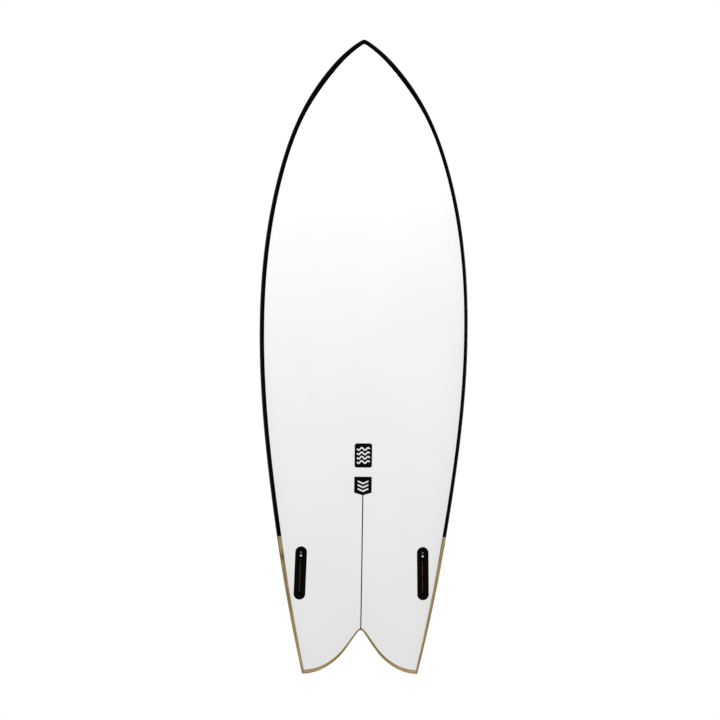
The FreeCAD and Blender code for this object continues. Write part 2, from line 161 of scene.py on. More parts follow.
outline = PlanCurve([(x * MM, NOSE_Y - d * MM) for x, d in OUTLINE])
notch = PlanCurve([(x * MM, TAIL_Y + d * MM) for x, d in NOTCH])


def bisect(test, low, high, shape=()):
    """Parameters where a test turns from true to false, between low and high, for whole arrays."""
    low, high = np.full(shape, low), np.full(shape, high)
    for _ in range(48):
        middle = (low + high) / 2
        inside = test(middle)
        low, high = np.where(inside, middle, low), np.where(inside, high, middle)
    return low


def outline_parameter(y):
    return bisect(lambda t: outline.at(t)[0][..., 1] > y, outline.middle, outline.end, np.shape(y))


def half_width(y):
    return outline.at(outline_parameter(np.minimum(y, NOSE_Y)))[0][..., 0]


def band_width(y):
    bare = np.clip((BAND_END_Y - y) / (BAND_END_Y - TAIL_Y), 0, 1)
    swell = BAND_SWELL * np.exp(-((NOSE_Y - y - SWELL_PLACE) / SWELL_REACH) ** 2)
    return BAND_WIDTH + bare * (BAND_WIDTH_TAIL - BAND_WIDTH) + swell


def shares(y, middle):
    """How far Y is from a middle towards the nose and towards the tail, each from 0 to 1."""
    ahead = np.maximum(y - middle, 0) / (NOSE_Y - middle)
    return ahead, np.maximum(middle - y, 0) / (middle - TAIL_Y)


def rocker(y):
    ahead, behind = shares(y, LOWEST_Y)
    return NOSE_LIFT * ahead ** NOSE_CURVE + TAIL_LIFT * behind ** TAIL_CURVE


def thickness(y):
    ahead, behind = shares(y, THICKEST_Y)
    value = (
        FULL_THICKNESS
        - (FULL_THICKNESS - NOSE_THICKNESS) * ahead ** NOSE_TAPER
        - (FULL_THICKNESS - TAIL_THICKNESS) * behind ** TAIL_TAPER
    )
    short = np.clip(1 - (NOSE_Y - y) / NOSE_ROUND, 0, 1)
    return value * np.sqrt(1 - short ** 2)


def width_share(x, y):
    """How far X is from the middle line to the outline, from 0 to 1."""
    return np.clip(np.abs(x) / np.maximum(half_width(y), 1e-9), 0, 1)


def bottom(x, y):
    apex = RAIL_HEIGHT * thickness(y)
    return rocker(y) + apex * (1 - np.sqrt(1 - width_share(x, y) ** BOTTOM_POWER))


def deck(x, y):
    tall = thickness(y)
    apex = RAIL_HEIGHT * tall
    return rocker(y) + apex + (tall - apex) * np.sqrt(1 - width_share(x, y) ** DECK_POWER)


def set_back(gap):
    """How far a rounded edge stands back, at a gap from the strip's end."""
    short = np.clip(1 - gap / EDGE_ROUND, 0, 1)
    return EDGE_ROUND * (1 - np.sqrt(1 - short ** 2))


def surface_normal(height, x, y):
    """Upward normals of a height function, by small differences."""
    step = 0.2 * MM
    across = (height(x + step, y) - height(x - step, y)) / (2 * step)
    along = (height(x, y + step) - height(x, y - step)) / (2 * step)
    normal = np.stack([-across, -along, np.ones_like(across)], axis=-1)
    return normal / np.linalg.norm(normal, axis=-1, keepdims=True)


# ---- making meshes ----

def new_object(name, data):
    made = bpy.data.objects.new(name, data)
    bpy.context.scene.collection.objects.link(made)
    return made


def add_piece(
    name, slot, nodes, vertices, faces, material, body="board", sharp=35, corner_normals=None, grain=None,
):
    """A shaded mesh that rides on a body, takes a material and stands for CAD nodes, if any; slot is not
    used.
    """
    mesh = bpy.data.meshes.new(name)
    mesh.from_pydata([tuple(v) for v in vertices], [], [tuple(f) for f in faces])
    mesh.polygons.foreach_set("use_smooth", [True] * len(mesh.polygons))
    mesh.materials.append(material)
    if grain is not None:
        layer = mesh.attributes.new("grain", "FLOAT_VECTOR", "POINT")
        layer.data.foreach_set("vector", np.asarray(grain, np.float32).ravel())
    if corner_normals is None:
        mesh.set_sharp_from_angle(angle=math.radians(sharp))
    else:
        mesh.normals_split_custom_set([tuple(n) for n in corner_normals])
    mesh.validate()
    mesh.update()
    piece = new_object(name, mesh)
    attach(piece, body)
    if nodes:
        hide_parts(*nodes)


def grid_faces(rows, columns, wrap_rows=False, wrap_columns=False, first=0, flip=False):
    """Quads over a grid of vertices numbered row by row."""
    faces = []
    for i in range(rows if wrap_rows else rows - 1):
        for j in range(columns if wrap_columns else columns - 1):
            a, b = i * columns + j, i * columns + (j + 1) % columns
            c, d = (i + 1) % rows * columns + (j + 1) % columns, (i + 1) % rows * columns + j
            quad = (a, b, c, d) if not flip else (d, c, b, a)
            faces.append(tuple(first + k for k in quad))
    return faces


def tube_piece(name, slot, nodes, rings, material, flip=False, **options):
    """A closed tube: rings of points joined in turn, with a flat face over each end."""
    rings = np.asarray(rings)
    rows, columns = rings.shape[:2]
    faces = grid_faces(rows, columns, wrap_columns=True, flip=flip)
    start, stop = list(range(columns)), list(range((rows - 1) * columns, rows * columns))
    faces += [start, stop[::-1]] if flip else [start[::-1], stop]
    add_piece(name, slot, nodes, rings.reshape(-1, 3), faces, material, **options)


WELD_STEP, WELD_SHARP = 0.001 * MM, 32


class Patchwork:
    """A piece made of patches that meet along shared rims, where they are joined."""

    def __init__(self, points, faces):
        self.patches, self.faces, self.count = [points], [tuple(f) for f in faces], len(points)

    def close(self, loops, flip=False):
        """Adds walls through loops of equal count, one after another, and a face over the last."""
        rows, columns = len(loops), len(loops[0])
        self.patches += loops
        self.faces += grid_faces(rows, columns, wrap_columns=True, first=self.count, flip=flip)
        self.count += rows * columns
        end = tuple(range(self.count - columns, self.count))
        self.faces.append(end if flip else end[::-1])

    def add_piece(self, name, slot, node, material):
        keys, numbers, kept = {}, [], []
        for vertex in np.vstack(self.patches):
            key = tuple(round(float(v) / WELD_STEP) for v in vertex)
            if key not in keys:
                keys[key] = len(kept)
                kept.append(vertex)
            numbers.append(keys[key])
        faces = [tuple(numbers[k] for k in face) for face in self.faces]
        add_piece(name, slot, [node], kept, faces, material, sharp=WELD_SHARP)


def inside_loops(points, loops):
    """Which plan points have an odd number of loop edges to their right."""
    odd = np.zeros(len(points), bool)
    for loop in loops:
        loop = np.asarray(loop)
        ahead = np.roll(loop, -1, axis=0)
        for (x0, y0), (x1, y1) in zip(loop, ahead):
            if y0 != y1:
                between = (points[:, 1] < y0) != (points[:, 1] < y1)
                odd ^= between & (points[:, 0] < x0 + (points[:, 1] - y0) * (x1 - x0) / (y1 - y0))
    return odd


def triangulate(loops, inner, clear):
    """Triangles in plan between loops, using inner points that keep clear of the loops' own."""
    rim = np.vstack([np.asarray(loop) for loop in loops])
    tree = KDTree(len(rim))
    for index, point in enumerate(rim):
        tree.insert((point[0], point[1], 0), index)
    tree.balance()
    inner = np.asarray(inner, float).reshape(-1, 2)
    inner = inner[inside_loops(inner, loops)]
    inner = np.array([p for p in inner if tree.find((p[0], p[1], 0))[2] > clear]).reshape(-1, 2)
    edges, first = [], 0
    for loop in loops:
        count = len(loop)
        edges += [(first + k, first + (k + 1) % count) for k in range(count)]
        first += count
    points = [Vector(p) for p in np.vstack([rim, inner])]
    plan, _, faces, *_ = delaunay_2d_cdt(points, edges, [], 0, 1e-9, False)
    plan, faces = np.array([tuple(p) for p in plan]), np.array([tuple(f) for f in faces])
    kept = inside_loops(plan[faces].mean(axis=1), loops)
    faces = faces[kept]
    a, b, c = (plan[faces[:, k]] for k in range(3))
    turned = (b[:, 0] - a[:, 0]) * (c[:, 1] - a[:, 1]) < (b[:, 1] - a[:, 1]) * (c[:, 0] - a[:, 0])
    faces[turned] = faces[turned][:, ::-1]
    return plan, faces


def rim_edges(faces):
    """Directed edges that only one triangle uses."""
    edges = {}
    for face in faces:
        for a, b in ((face[0], face[1]), (face[1], face[2]), (face[2], face[0])):
            edges[(a, b)] = True
    return [edge for edge in edges if edge[::-1] not in edges]


def sheet_piece(name, slot, nodes, plan, faces, height, side, wall, proud, material):
    """A closed sheet over plan triangles. side is 1 where it faces up and -1 where it faces down."""
    x, y = plan[:, 0], plan[:, 1]
    normal = side * surface_normal(height, x, y)
    outer = np.column_stack([x, y, height(x, y)]) + normal * proud
    vertices = np.vstack([outer, outer - normal * wall])
    count = len(outer)
    up = faces if side > 0 else faces[:, ::-1]
    polygons = [tuple(f) for f in up] + [tuple(f[::-1] + count) for f in up]
    corners = [normal[k] for f in up for k in f] + [-normal[k] for f in up for k in f[::-1]]
    for a, b in rim_edges(up):
        quad = (b, a, a + count, b + count)
        flat = np.cross(vertices[quad[1]] - vertices[quad[0]], vertices[quad[2]] - vertices[quad[0]])
        polygons.append(quad)
        corners += [flat / max(np.linalg.norm(flat), 1e-12)] * 4
    add_piece(name, slot, nodes, vertices, polygons, material, corner_normals=corners)


ARC_STEPS, SIDE_STEPS = 36, 30


def ring(radius, count):
    turn = np.arange(count) * 2 * math.pi / count
    return np.column_stack([radius * np.cos(turn), radius * np.sin(turn)])


def stadium(length, width, shift=0.0):
    """A loop with round ends, long in Y, going round to the left."""
    radius, half = width / 2, (length - width) / 2
    turn = np.linspace(0, math.pi, ARC_STEPS + 1)
    front = np.column_stack([radius * np.cos(turn), half + radius * np.sin(turn)])
    run = np.linspace(half, -half, SIDE_STEPS + 1)[1:-1]
    left = np.column_stack([np.full(len(run), -radius), run])
    loop = np.vstack([front, left, -front, -left])
    return loop + (0, shift)


# ---- rails ----

ACROSS = np.linspace(-1, 1, 2 * SECTION_STEPS + 1)


def rail_points(t, across):
    """Points on the board's surface round the right rail.

    across is -1 at the strip's inner edge on the bottom, 0 at the rail's apex and 1 at the inner
    edge on the deck, and the spacing closes up towards the apex.
    """
    edge = outline.at(t)[0]
    inset = band_width(edge[..., 1]) * across ** 2
    plan = outline.offset(t, -inset)
    x, y = plan[..., 0], plan[..., 1]
    z = np.where(across > 0, deck(x, y), bottom(x, y))
    return np.stack([x, y, z], axis=-1)


def notch_y(x):
    """The Y of the tail's rear edge at an X: the notch curve, then square across each tip."""
    t = bisect(lambda t: notch.at(t)[0][..., 0] < x, notch.middle, notch.end, x.shape)
    return np.where(x < notch.points[-1, 0], notch.at(t)[0][..., 1], TAIL_Y)


def rail_end(across):
    """The outline parameter at which each line along the rail reaches the tail's rear edge."""
    def ahead(t):
        points = rail_points(t, across)
        return points[..., 1] > notch_y(points[..., 0])
    return bisect(ahead, outline_parameter(BAND_END_Y), outline.end, across.shape)


def grid_normals(points):
    """Outward normals of a rail grid, whose rows run to the tail and columns from bottom to deck."""
    normal = np.cross(np.gradient(points, axis=1), np.gradient(points, axis=0))
    return normal / np.maximum(np.linalg.norm(normal, axis=-1, keepdims=True), 1e-12)


BLOCK_T = float(outline_parameter(BLOCK_Y))
BAND_END_T = float(outline_parameter(BAND_END_Y))
nose_t = np.linspace(outline.middle, BLOCK_T, NOSE_STEPS)
middle_t = np.linspace(BLOCK_T, BAND_END_T, MIDDLE_STEPS)
ENDS_T = rail_end(ACROSS)
round_share = EDGE_ROUND / (BAND_END_Y - TAIL_Y)
tail_share = np.concatenate([
    np.linspace(0, 1 - round_share, TAIL_STEPS),
    1 - round_share * (1 - np.sin(np.linspace(0, math.pi / 2, END_STEPS)[1:])),
])[:, None]
tail_t = BAND_END_T + (ENDS_T[None, :] - BAND_END_T) * tail_share

front_t = np.concatenate([nose_t, middle_t[1:]])
front_rail = rail_points(*np.broadcast_arrays(front_t[:, None], ACROSS))
tail_rail = rail_points(*np.broadcast_arrays(tail_t, ACROSS))


def mirror_x(points):
    return np.asarray(points) * (-1, 1, 1)


def make_band(material):
    """The black laminate round the nose and both rails, a thin shell."""
    whole = np.concatenate([mirror_x(front_rail)[::-1], front_rail[1:]])
    normal = grid_normals(whole)
    inner = whole - normal * WALL
    loop = np.concatenate([whole, inner[:, ::-1]], axis=1)
    tube_piece("rail_band_gloss", "black_laminate", ["rail_band"], loop, material, flip=True, sharp=40)


def timber_piece(name, slot, node, whole, run, side, tag, flip, material):
    """A strip from a grid of its right-hand points, with grain that follows its run and girth."""
    girth = np.cumsum(np.linalg.norm(np.diff(whole, axis=1, prepend=whole[:, :1]), axis=-1), axis=1)
    grain = np.stack([girth, run + 0 * girth, np.full_like(girth, tag)], axis=-1)
    points = whole if side > 0 else mirror_x(whole)
    tube_piece(name, slot, [node], points, material, flip=flip, sharp=40, grain=grain)


# The rail strips' usual angle to the middle line, which stretches their grain.
RAIL_SWEEP = math.radians(12)


def make_timber_rail(word, side, material):
    """The outer rail strip: under the band ahead of the band's end, and bare behind it."""
    covered = front_rail[NOSE_STEPS - 1:]
    covered = covered - grid_normals(front_rail)[NOSE_STEPS - 1:] * WALL
    gap = (tail_share[-1] - tail_share) * (BAND_END_Y - TAIL_Y)
    bare = tail_rail - grid_normals(tail_rail) * set_back(gap)[..., None]
    whole = np.concatenate([covered, bare])
    timber_piece(
        f"rail_timber_{word}", "rail_timber", f"rail_outer_{word}",
        whole, whole[..., 1] / math.cos(RAIL_SWEEP), side, side, side > 0, material,
    )


# ---- the tail's edge and stringer ----

def edge_width(t):
    """The tail edge's width: least at the stringer and most at the tip."""
    more = TAIL_EDGE_TIP - TAIL_EDGE_NOTCH
    return TAIL_EDGE_NOTCH + more * notch.at(t)[0][..., 0] / notch.points[-1, 0]


def inside_edge(t):
    """Plan points of the rail strips' inner edge."""
    return outline.offset(t, -band_width(outline.at(t)[0][:, 1]))


inside_line = inside_edge(np.linspace(outline.middle, outline.end, 3000))


def inside_half_width(y):
    return np.interp(-y, -inside_line[:, 1], inside_line[:, 0])


def edge_plan(t, share):
    """Plan points of the tail edge: share is 0 on the notch and 1 at the strip's inner edge."""
    return notch.offset(t, edge_width(t) * share)


def edge_stations(share):
    """Parameters from the stringer's side to the rail strip, along one line of the edge."""
    start = bisect(lambda t: edge_plan(t, share)[..., 0] < STRINGER_HALF, notch.middle, notch.end)

    def within(t):
        plan = edge_plan(t, share)
        return plan[..., 0] < inside_half_width(plan[..., 1])
    stop = bisect(within, notch.middle, notch.end)
    return start + (stop - start) * np.linspace(0, 1, NOTCH_STEPS) ** NOTCH_CROWDING


def edge_profile():
    """The section across the tail edge: (share of its width, inset, rise, how far up to the deck)."""
    lower = [(share, 0.0, 0.0, 0.0) for share in (1.0, 0.8, 0.6, 0.4)]
    for a in np.linspace(0, math.pi / 2, 7):
        lower.append((0.0, EDGE_ROUND * (1 - math.sin(a)), EDGE_ROUND * (1 - math.cos(a)), 0.0))
    wall = [(0.0, 0.0, EDGE_ROUND, up) for up in (0.25, 0.5, 0.75)]
    return lower + wall + [(*row[:3], 1.0) for row in lower[::-1]]


def make_tail_edge(word, side, material):
    columns = []
    for share, inset, rise, up in edge_profile():
        t = edge_stations(share)
        x, y = edge_plan(t, share + inset / edge_width(t)).T
        low, high = bottom(x, y) + rise, deck(x, y) - rise
        columns.append(np.stack([x, y, low + (high - low) * up], axis=-1))
    whole = np.stack(columns, axis=1)
    run = np.cumsum(np.linalg.norm(np.diff(whole[:, 0], axis=0, prepend=whole[:1, 0]), axis=-1))
    timber_piece(
        f"tail_timber_{word}", "tail_timber", f"tail_edge_{word}",
        whole, run[:, None], side, 2 + side, side < 0, material,
    )


STRINGER_DEPTH = 12 * MM
STRINGER_PROUD = 0.05 * MM
NOTCH_TOP = float(notch.at(notch.middle)[0][1])


def make_stringer(material):
    """A thin dark strip in the bottom, as tall as the board where it shows in the notch."""
    y = np.concatenate([
        NOTCH_TOP + EDGE_ROUND * np.linspace(0, 1, 6),
        np.linspace(NOTCH_TOP + TAIL_EDGE_NOTCH, NOTCH_TOP + TAIL_EDGE_NOTCH + 0.01 * MM, 2),
        np.linspace(NOTCH_TOP + 9 * MM, STRINGER_FRONT + MM, 90),
    ])
    x = np.array([-STRINGER_HALF, 0, STRINGER_HALF])
    low = bottom(x[None, :] + 0 * y[:, None], y[:, None] + 0 * x)
    rounding = set_back(y - NOTCH_TOP)
    low = low - STRINGER_PROUD + rounding[:, None]
    tall = y < NOTCH_TOP + TAIL_EDGE_NOTCH + 0.005 * MM
    high = np.where(tall, deck(0 * y, y) - rounding, low[:, 1] + STRINGER_DEPTH)
    lines = [(x[k], low[:, k]) for k in range(3)] + [(x[2], high), (x[0], high)]
    whole = np.stack([np.stack([u + 0 * y, y, z], axis=-1) for u, z in lines], axis=1)
    tube_piece("stringer_strip", "stringer", ["tail_stringer"], whole, material, flip=True)


# ---- skins ----

FLANGE_LENGTH, FLANGE_WIDTH = 141 * MM, 30.7 * MM
BARREL_LENGTH, BARREL_WIDTH, BARREL_DEPTH = 130 * MM, 18 * MM, 19 * MM
SLOT_LENGTH, SLOT_WIDTH, SLOT_DEPTH, SLOT_SHIFT = 106 * MM, 7 * MM, 14.5 * MM, -3 * MM
FIN_TOE = math.radians(1.5)
CUP_FLANGE, VENT_FLANGE = 19 * MM, 13 * MM


def fin_frame(side):
    """Origin on the bottom, Y along the slot and Z up into the board."""
    low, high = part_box("fin_box_right")
    x, y = side * (low.x + high.x) / 2, (low.y + high.y) / 2
    tilt = math.atan((rocker(y + MM) - rocker(y - MM)) / (2 * MM))
    turn = Matrix.Rotation(side * FIN_TOE, 4, "Z") @ Matrix.Rotation(tilt, 4, "X")
    return Matrix.Translation((x, y, float(rocker(y)))) @ turn


def raised(loop, height):
    return np.column_stack([loop, np.full(len(loop), height)])


def placed(matrix, points):
    """Points of a local frame, in the board's frame."""
    points = np.asarray(points)
    return np.array([matrix @ Vector(p) for p in points.reshape(-1, 3)]).reshape(points.shape)


def cup_centre(node):
    low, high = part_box(node)
    return np.array([(low.x + high.x) / 2, (low.y + high.y) / 2])


def skin_outline(stringer_notch):
    """The boundary of a white skin: inside the rail strips and ahead of the tail edge."""
    front, rear = inside_edge(front_t), inside_edge(tail_t[:, 0])
    tail = edge_plan(edge_stations(1.0), 1.0)[::-1]
    rear = rear[rear[:, 1] > tail[0, 1] + 0.2 * MM]
    right = np.vstack([front, rear[1:], tail])
    if stringer_notch:
        run = np.linspace(tail[-1, 1], STRINGER_FRONT, 100)[1:]
        right = np.vstack([right, np.column_stack([np.full(len(run), STRINGER_HALF), run])])
    return np.vstack([right, (right * (-1, 1))[::-1][:-1]])


def skin_points():
    """Points spread over the plan, closer together towards the rails and the nose."""
    share = np.linspace(0, 1, SKIN_ROWS) ** SKIN_CROWDING
    rows = NOSE_Y - NOSE_CLEAR - share * (LENGTH - NOSE_CLEAR)
    columns = np.sin(np.linspace(-1, 1, SKIN_COLUMNS) * math.pi / 2) * SKIN_EDGE
    return np.array([(c * inside_half_width(y), y) for y in rows for c in columns])


def make_skins(material):
    oval = stadium(FLANGE_LENGTH, FLANGE_WIDTH)
    flanges = [placed(fin_frame(side), raised(oval, 0))[:, :2] for _, side in SIDES]
    rounds = [
        cup_centre("leash_cup") + ring(CUP_FLANGE, 96), cup_centre("vent_body") + ring(VENT_FLANGE, 72),
    ]
    for word, holes, height, side in (("bottom", flanges, bottom, -1), ("deck", rounds, deck, 1)):
        outer = skin_outline(stringer_notch=side < 0)
        plan, faces = triangulate([outer] + holes, skin_points(), SKIN_CLEAR)
        sheet_piece(
            f"{word}_gloss", "white_laminate", [f"{word}_laminate"], plan, faces, height, side, WALL, 0,
            material,
        )


# ---- decals ----

DECAL_PROUD, DECAL_WALL = 0.12 * MM, 0.3 * MM
PRINT_PROUD, PRINT_WALL = 0.17 * MM, 0.1 * MM
DECAL_CORNER = 6 * MM
DECAL_POINT = 7 * MM
WAVE_SPAN, WAVE_PLACES = 0.72, (-0.27, -0.09, 0.09, 0.27)
WAVE_TALL, WAVE_WIDE = 3.2 * MM, 3.6 * MM
CHEVRON_TIPS, CHEVRON_ARM, CHEVRON_SLOPE, CHEVRON_WIDE = (9, 19, 29), 14 * MM, 0.45, 4 * MM


def rounded_box(low, high, radius):
    turn = np.linspace(0, math.pi / 2, 9)
    loop = []
    for corner, quarter in (((1, 1), 0), ((-1, 1), 1), ((-1, -1), 2), ((1, -1), 3)):
        centre = (low + high) / 2 + np.array(corner) * ((high - low) / 2 - radius)
        angle = turn + quarter * math.pi / 2
        loop.append(centre + radius * np.column_stack([np.cos(angle), np.sin(angle)]))
    return np.vstack(loop)


def divided(loop, step):
    """A loop with points added along its straight runs."""
    points = []
    for start, stop in zip(loop, np.roll(loop, -1, axis=0)):
        count = max(1, int(np.linalg.norm(stop - start) / step))
        points += [start + (stop - start) * k / count for k in range(count)]
    return np.array(points)


def spread(loop, step):
    """A square grid of points over a loop's box."""
    low, high = loop.min(axis=0), loop.max(axis=0)
    x, y = (np.arange(low[k] + step / 2, high[k], step) for k in range(2))
    return np.array([(a, b) for a in x for b in y])


def print_piece(name, slot, nodes, loop, proud, wall, material):
    loop = divided(np.asarray(loop), 2 * MM)
    plan, faces = triangulate([loop], spread(loop, 3 * MM), 0.8 * MM)
    sheet_piece(name, slot, nodes, plan, faces, bottom, -1, wall, proud, material)


def ribbon(line, width):
    """A loop of even width along a line of plan points."""
    line = np.asarray(line, float)
    along = np.gradient(line, axis=0)
    along /= np.linalg.norm(along, axis=1, keepdims=True)
    across = np.column_stack([-along[:, 1], along[:, 0]]) * width / 2
    return np.vstack([line + across, (line - across)[::-1]])


def make_decal(decal, base, kind, marks, film, ink):
    """A black film with white marks printed on it."""
    print_piece(f"{decal}_film", decal, [decal], base, DECAL_PROUD, DECAL_WALL, film)
    for number, mark in enumerate(marks, 1):
        print_piece(f"{decal}_{kind}_{number}", decal, [], mark, PRINT_PROUD, PRINT_WALL, ink)


def make_decals(film, ink):
    """Two plain decals: rolling wave lines on the upper one and chevrons on the lower."""
    low, high = (np.array(corner[:2]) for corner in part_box("upper_decal"))
    span = (high - low)[0] * WAVE_SPAN
    x = np.linspace(-span / 2, span / 2, 60)
    wave = WAVE_TALL * np.sin(x / span * 4 * math.pi)
    heights = [(low + high)[1] / 2 + up * (high - low)[1] + wave for up in WAVE_PLACES]
    waves = [ribbon(np.column_stack([x, y]), WAVE_WIDE) for y in heights]
    make_decal("upper_decal", rounded_box(low, high, DECAL_CORNER), "wave", waves, film, ink)
    (left, point), (right, top) = (corner[:2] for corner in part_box("lower_decal"))
    shoulder = point + DECAL_POINT
    pennant = [(right, shoulder), (right, top), (left, top), (left, shoulder), (0, point)]
    arm, rise = CHEVRON_ARM, CHEVRON_ARM * CHEVRON_SLOPE
    chevrons = []
    for y in (point + tip * MM for tip in CHEVRON_TIPS):
        line = [(-arm, y + rise), (0, y), (arm, y + rise)]
        chevrons.append(line + [(u, v + CHEVRON_WIDE) for u, v in line[::-1]])
    make_decal("lower_decal", pennant, "chevron", chevrons, film, ink)


# ---- fin boxes and screws ----

RIM_ROUND = 0.9 * MM
RIM_PROUD = 0.25 * MM
FLANGE_DEPTH = 3.5 * MM
SLOT_CHAMFER = 0.7 * MM
# The bead's width is the strip of the slot's floor that light reaches: the brown bead is a painted lit
# strip.
BEAD_LENGTH, BEAD_WIDTH, BEAD_SHIFT, BEAD_RISE = 96 * MM, 3.4 * MM, -6 * MM, 1.6 * MM
BEAD_END = 0.15
STOP_RADIUS, STOP_PLACE, STOP_DEPTH = 2.9 * MM, 45.6 * MM, 1.2 * MM
# The stop's domed head: share of its radius, depth in the slot.
STOP_PROFILE = (
    (0.15, STOP_DEPTH + 0.05 * MM), (0.55, STOP_DEPTH), (0.86, STOP_DEPTH + 0.35 * MM),
    (0.97, STOP_DEPTH + 0.8 * MM), (1.0, STOP_DEPTH + 1.4 * MM), (1.0, SLOT_DEPTH),
)
SCREW_HOLE, HOLE_CHAMFER = 2.55 * MM, 0.35 * MM
SCREW_RADIUS, SCREW_LENGTH = 2.5 * MM, 10 * MM
SCREW_SOCKET, SCREW_SOCKET_DEPTH = 1.45 * MM, 3 * MM
THREAD_PITCH, THREAD_DEPTH = 0.8 * MM, 0.3 * MM


def screw_axis(word):
    """The screw's centre and its axis out of the board, from the frame."""
    joint = next(j for j in frame["joints"] if j["child"] == f"screw_{word}")
    low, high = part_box(f"fin_screw_{word}")
    return (low + high) / 2, Vector(joint["axis"]).normalized()


def screw_frame(word):
    """Origin at the screw's head, Z out of the board."""
    centre, out = screw_axis(word)
    head = centre + out * (SCREW_LENGTH / 2)
    return Matrix.Translation(head) @ out.to_track_quat("Z", "X").to_matrix().to_4x4()


def screw_mouth(word, radius, count=40):
    """Where a cylinder round the screw's axis meets the flange's face."""
    place = screw_frame(word)
    out = np.array(screw_axis(word)[1])
    start = placed(place, raised(ring(radius, count), 0))
    reach = np.zeros(count)
    for _ in range(8):
        points = start + out * reach[:, None]
        reach += (bottom(points[:, 0], points[:, 1]) - RIM_PROUD - points[:, 2]) / out[2]
    return start + out * reach[:, None], start, out


def on_bottom(plan, into):
    """Plan points on the bottom, moved into the board."""
    x, y = plan[:, 0], plan[:, 1]
    return np.column_stack([x, y, bottom(x, y) + into])


def make_fin_box(word, side, plastic):
    """A moulded box: a flange with a rounded rim, a barrel under it, the fin slot and screw hole."""
    place = fin_frame(side)

    def deep(length, width, depth, shift=0.0):
        return placed(place, raised(stadium(length, width, shift), depth))

    def flat(length, width, shift=0.0):
        return deep(length, width, 0, shift)[:, :2]

    def flange(inset):
        return flat(FLANGE_LENGTH - 2 * inset, FLANGE_WIDTH - 2 * inset)

    face_rim = flange(RIM_ROUND)
    slot_rim = flat(SLOT_LENGTH + 2 * SLOT_CHAMFER, SLOT_WIDTH + 2 * SLOT_CHAMFER, SLOT_SHIFT)
    mouth = screw_mouth(word, SCREW_HOLE + HOLE_CHAMFER)[0]
    plan, faces = triangulate([face_rim, slot_rim, mouth[:, :2]], spread(face_rim, 3 * MM), 1.1 * MM)
    box = Patchwork(on_bottom(plan, -RIM_PROUD), faces[:, ::-1])
    rim = [
        on_bottom(flange(RIM_ROUND * (1 - math.sin(a))), RIM_ROUND * (1 - math.cos(a)) - RIM_PROUD)
        for a in np.linspace(0, math.pi / 2, 6)
    ]
    rim += [on_bottom(loop, FLANGE_DEPTH) for loop in (flange(0), flat(BARREL_LENGTH, BARREL_WIDTH))]
    box.close(rim + [deep(BARREL_LENGTH, BARREL_WIDTH, BARREL_DEPTH)], flip=True)
    top = on_bottom(flat(SLOT_LENGTH, SLOT_WIDTH, SLOT_SHIFT), SLOT_CHAMFER - RIM_PROUD)
    base = deep(SLOT_LENGTH, SLOT_WIDTH, SLOT_DEPTH, SLOT_SHIFT)
    walls = [top + (base - top) * share for share in (0.3, 0.6, 0.9, 1.0)]
    box.close([on_bottom(slot_rim, -RIM_PROUD), top] + walls)
    edge, head, out = screw_mouth(word, SCREW_HOLE)
    bore = [head - out * depth * MM for depth in (0.0, 5.0, SCREW_LENGTH / MM + 0.2)]
    box.close([mouth, edge - out * 0.4 * MM] + bore)
    box.add_piece(f"fin_box_moulding_{word}", "fin_box", f"fin_box_{word}", plastic)


def make_slot_lit_bead_and_stop(word, side, resin, stop):
    """A bead of brown resin along the slot's floor, drawn only as wide as the strip where light reaches
    that floor, so it is a painted lit strip, and a pale stop at the slot's front end.
    """
    place = fin_frame(side)
    arc = np.linspace(0, math.pi, 9)
    bead = []
    for v in np.linspace(-BEAD_LENGTH / 2, BEAD_LENGTH / 2, 60):
        thin = BEAD_END + (1 - BEAD_END) * math.sqrt(max(0.0, 1 - (2 * v / BEAD_LENGTH) ** 8))
        half = BEAD_WIDTH / 2 * thin * (1 + 0.12 * math.sin(v * 190) * math.cos(v * 71))
        rise = BEAD_RISE * thin
        bead.append([(half * math.cos(a), v + BEAD_SHIFT, SLOT_DEPTH - rise * math.sin(a)) for a in arc])
    tube_piece(f"fin_slot_bead_{word}", "fin_box", [], placed(place, bead), resin, sharp=60)
    rings = [
        raised(ring(STOP_RADIUS * share, 40) + (0, STOP_PLACE), depth) for share, depth in STOP_PROFILE
    ]
    tube_piece(f"fin_slot_stop_{word}", "fin_box", [], placed(place, rings), stop, flip=True)


def make_screw(word, steel):
    """A grub screw: threaded outside, chamfered ends and a hexagonal socket in the head."""
    place = screw_frame(word)
    count = 48
    turn = np.arange(count) * 2 * math.pi / count
    hexagon = SCREW_SOCKET * math.cos(math.pi / 6) / np.cos((turn % (math.pi / 3)) - math.pi / 6)
    rings = [(0.2 * hexagon, -SCREW_SOCKET_DEPTH - 0.4 * MM), (hexagon, -SCREW_SOCKET_DEPTH)]
    rings += [(hexagon, -0.5 * SCREW_SOCKET_DEPTH), (hexagon, -0.15 * MM), (1.1 * hexagon, 0)]
    rings += [(SCREW_RADIUS - 0.55 * MM, 0)]
    for depth in np.arange(0.35 * MM, SCREW_LENGTH - 0.7 * MM, THREAD_PITCH / 8):
        phase = (depth / THREAD_PITCH + turn / (2 * math.pi)) % 1.0
        rings.append((SCREW_RADIUS - THREAD_DEPTH * np.abs(2 * phase - 1), -depth))
    rings += [(SCREW_RADIUS - THREAD_DEPTH - 0.1 * MM, 0.6 * MM - SCREW_LENGTH)]
    rings += [(1.2 * MM, -SCREW_LENGTH), (0.8 * MM, 0.3 * MM - SCREW_LENGTH)]
    points = placed(place, [raised(ring(radius, count), height) for radius, height in rings])
    tube_piece(
        f"fin_screw_steel_{word}", "stainless", [f"fin_screw_{word}"],
        points, steel, flip=True, body=f"screw_{word}", sharp=30,
    )


# ---- leash cup and vent ----

def turned(centre, profile, count=96):
    """A closed turned form on the deck: profile is (radius, height above the deck) pairs."""
    rings = []
    for radius, height in profile:
        plan = centre + ring(radius, count)
        rings.append(np.column_stack([plan, deck(plan[:, 0], plan[:, 1]) + height]))
    return np.array(rings)


